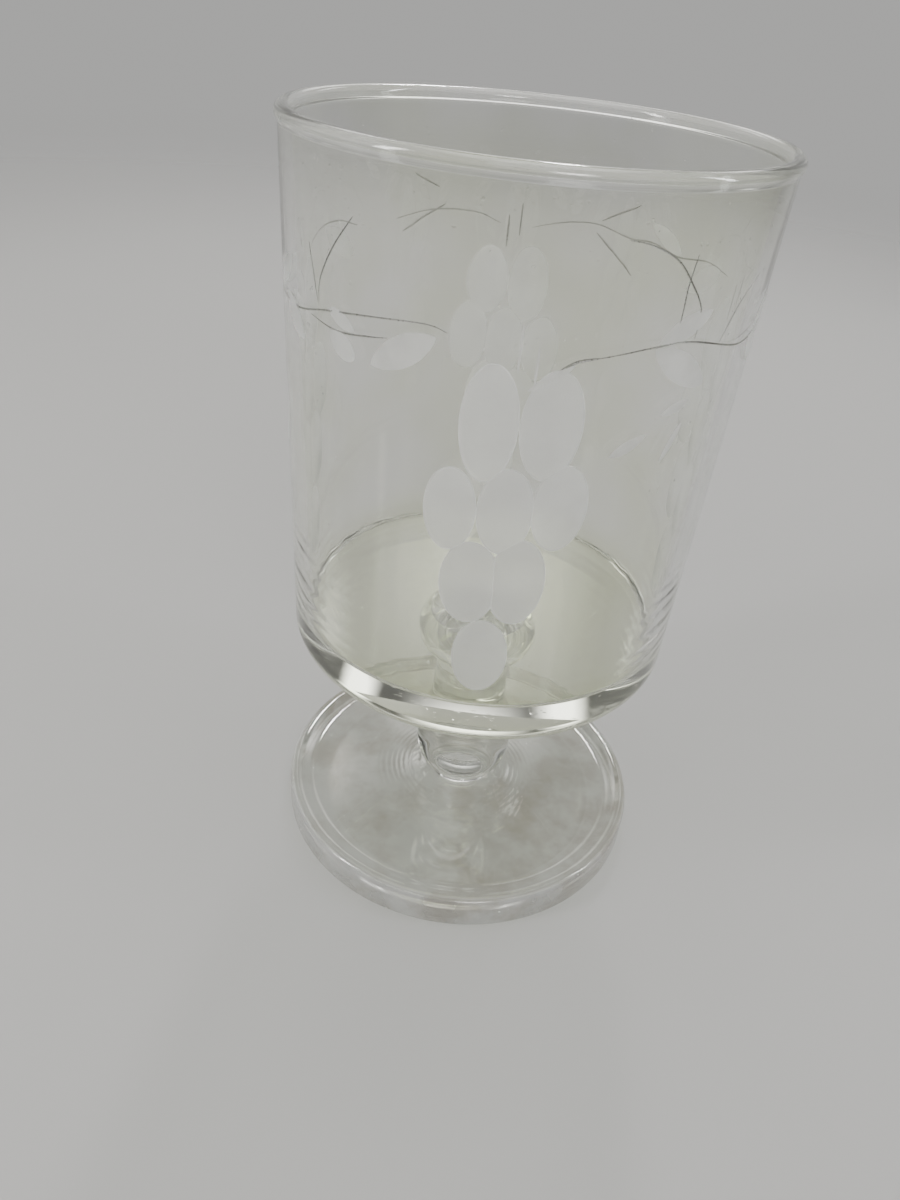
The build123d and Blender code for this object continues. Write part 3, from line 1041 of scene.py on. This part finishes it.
def backdrop(nodes):
    """The backdrop's colour, which depends only on how far up one looks."""
    ramp = nodes.node("ValToRGB")
    nodes.put(ramp.inputs["Fac"], nodes.ramp(nodes.axes(nodes.place)["Z"], -1.0, 1.0, kind="LINEAR"))
    stops = ramp.color_ramp.elements
    stops[0].position, stops[1].position = BACKDROP[0][0], BACKDROP[-1][0]
    for position, _ in BACKDROP[1:-1]:
        stops.new(position)
    for stop, (_, shade) in zip(stops, BACKDROP):
        stop.color = (*(shade * part for part in BACKDROP_WARMTH), 1)
    return ramp.outputs["Color"]


def make_world():
    """A pale backdrop, darker towards the ceiling, and the dark screens."""
    world = bpy.data.worlds.new("studio")
    bpy.context.scene.world = world
    nodes = Nodes(world, "Generated")
    plain = backdrop(nodes)
    compass = nodes.vector("NORMALIZE", nodes.vector("MULTIPLY", nodes.place, (1, 1, 0)))
    flagged = plain
    for angle, half_width, shade in FLAGS:
        turn = math.radians(angle)
        facing = nodes.vector("DOT_PRODUCT", compass, (math.sin(turn), -math.cos(turn), 0))
        outer, inner = (math.cos(math.radians(half_width + k * FLAG_SOFTNESS)) for k in (1, -1))
        flagged = nodes.blend(nodes.ramp(facing, outer, inner), flagged, (shade, shade, shade, 1))
    path = nodes.node("LightPath")
    back = nodes.node("Background")
    nodes.put(back.inputs["Color"], nodes.blend(path.outputs["Is Camera Ray"], flagged, plain))
    nodes.finish(back.outputs[0], "OutputWorld")


def soft_light(name, place, aim, width, height, watts, edge, colour=WARM_WHITE):
    """A rectangular softbox; its brightness falls off over the share of each half named as edge."""
    data = bpy.data.lights.new(name, "AREA")
    data.shape = "RECTANGLE"
    data.size = width
    data.size_y = height
    data.energy = watts
    data.color = colour
    nodes = Nodes(data, coordinates=None)
    across_light = nodes.axes(nodes.node("NewGeometry").outputs["Parametric"])
    shares = []
    for axis in ("X", "Y"):
        away = nodes.maths("ABSOLUTE", nodes.maths("SUBTRACT", across_light[axis], 0.5), 0.0)
        shares.append(nodes.ramp(away, 0.5, 0.5 - 0.5 * edge))
    emission = nodes.node("Emission")
    nodes.put(emission.inputs["Strength"], nodes.maths("MULTIPLY", *shares))
    nodes.finish(emission.outputs[0], "OutputLight")
    light = bpy.data.objects.new(name, data)
    light.location = place
    light.rotation_euler = (Vector(aim) - Vector(place)).to_track_quat("-Z", "Y").to_euler()
    light.visible_camera = False
    bpy.context.scene.collection.objects.link(light)


def make_lights():
    """Place, aim, width and height in metres, watts, and how soft the edge is."""
    middle, base, low_bowl = (0, 0, 0.07), (0, 0, 0.05), (0, 0, 0.08)
    soft_light("ceiling", (0.0, 0.3, 2.6), (0, 0.1, 0), 2.6, 2.6, 70.0, 0.5)
    soft_light("window_middle", (0.0, 0.86, 0.6), base, 0.5, 0.4, 3.2, 1.0)
    soft_light("window_left", (-0.36, 0.8, 0.75), base, 0.3, 0.5, 2.6, 1.0)
    soft_light("window_right", (0.42, 0.75, 0.68), base, 0.25, 0.4, 2.2, 1.0)
    soft_light("lamp_behind", (0.04, 0.55, 0.62), low_bowl, 0.07, 0.07, 3.0, 0.5)
    soft_light("front_fill", (0.3, -1.0, 0.6), middle, 0.45, 0.45, 14.0, 0.8)
    soft_light("strip_left", (-0.6, -0.3, 0.42), middle, 0.14, 0.6, 9.0, 0.8)
    soft_light("strip_right", (0.62, -0.05, 0.38), middle, 0.08, 0.55, 4.0, 0.8, COOL_WHITE)


def make_camera():
    yaw, pitch, roll = (math.radians(angle) for angle in (CAMERA_YAW, CAMERA_PITCH, CAMERA_ROLL))
    ahead = Vector((math.sin(yaw) * math.cos(pitch), math.cos(yaw) * math.cos(pitch), math.sin(pitch)))
    level = Vector((math.cos(yaw), -math.sin(yaw), 0))
    upright = level.cross(ahead)
    right = level * math.cos(roll) + upright * math.sin(roll)
    up = upright * math.cos(roll) - level * math.sin(roll)
    data = bpy.data.cameras.new("photo_camera")
    data.lens = CAMERA_LENS
    data.sensor_width = 36.0
    data.clip_start = 0.01
    camera = bpy.data.objects.new("photo_camera", data)
    turned = Matrix((right, up, -ahead)).transposed().to_4x4()
    camera.matrix_world = Matrix.Translation(CAMERA_PLACE) @ turned
    bpy.context.scene.collection.objects.link(camera)
    bpy.context.scene.camera = camera


# --- put together ---
joint = fused_face()
satin = ground_glass(
    "ground_satin_glass", (0.97, 0.975, 0.965, 1), (0.9, 0.9, 0.89, 1),
    roughness=0.34, clearness=0.6, glow=0.2, grain=0.00003, lined=0.08,
)
fine_cut = ground_glass(
    "fine_cut_glass", (0.2, 0.2, 0.18, 1), (0.3, 0.3, 0.27, 1),
    roughness=0.3, clearness=0.5, glow=0.1, grain=0.00002, lined=0.0,
)
leaf_cut = ground_glass(
    "satin_leaf_glass", (0.93, 0.93, 0.92, 1), (0.8, 0.8, 0.78, 1),
    roughness=0.38, clearness=0.58, glow=0.17, grain=0.00003, lined=0.08,
)
# Painted highlight: near-white, half-clear glass laid along the grape edges in place of the light they
# catch.
edge_highlight = ground_glass(
    "painted_edge_highlight", (1.0, 1.0, 0.99, 1), (0.93, 0.93, 0.92, 1),
    roughness=0.2, clearness=0.3, glow=0.3, grain=0.00001, lined=0.0,
)
bowl_glass = clear_glass(
    "clear_bowl_glass", pale=(0.985, 0.988, 0.975, 1), tinted=(0.82, 0.86, 0.64, 1),
    tint_heights=(0.043, 0.056), haze=0.05, film=("height", 0.1243, 0.1252, 0.12),
)
stem_glass = clear_glass(
    "clear_stem_glass", pale=(0.97, 0.98, 0.96, 1), tinted=(0.93, 0.95, 0.9, 1),
    tint_heights=(0.008, 0.05), haze=0.04,
)
# The foot's glass carries the painted reflection: patchy brown-grey painted in for dark surroundings it
# mirrors.
foot_glass = clear_glass(
    "clear_foot_glass", pale=(0.96, 0.965, 0.945, 1), tinted=(0.92, 0.93, 0.89, 1),
    tint_heights=(0.0, 0.009), haze=0.08, film=("radius", 0.0336, 0.0343, 0.34), painted_reflection=0.8,
)

foot = make_foot(foot_glass, joint)
stem = make_stem(stem_glass, joint)
bowl = make_bowl([bowl_glass, satin, fine_cut, joint, edge_highlight, leaf_cut])
for piece, node in ((foot, "foot"), (stem, "stem"), (bowl, "bowl")):
    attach(piece, "root")
    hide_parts(node)

make_floor()
make_world()
make_lights()
make_camera()

scene = bpy.context.scene
scene.cycles.max_bounces = 24
scene.cycles.transmission_bounces = 24
scene.cycles.glossy_bounces = 12
scene.cycles.transparent_max_bounces = 24
scene.cycles.sample_clamp_indirect = 4.0
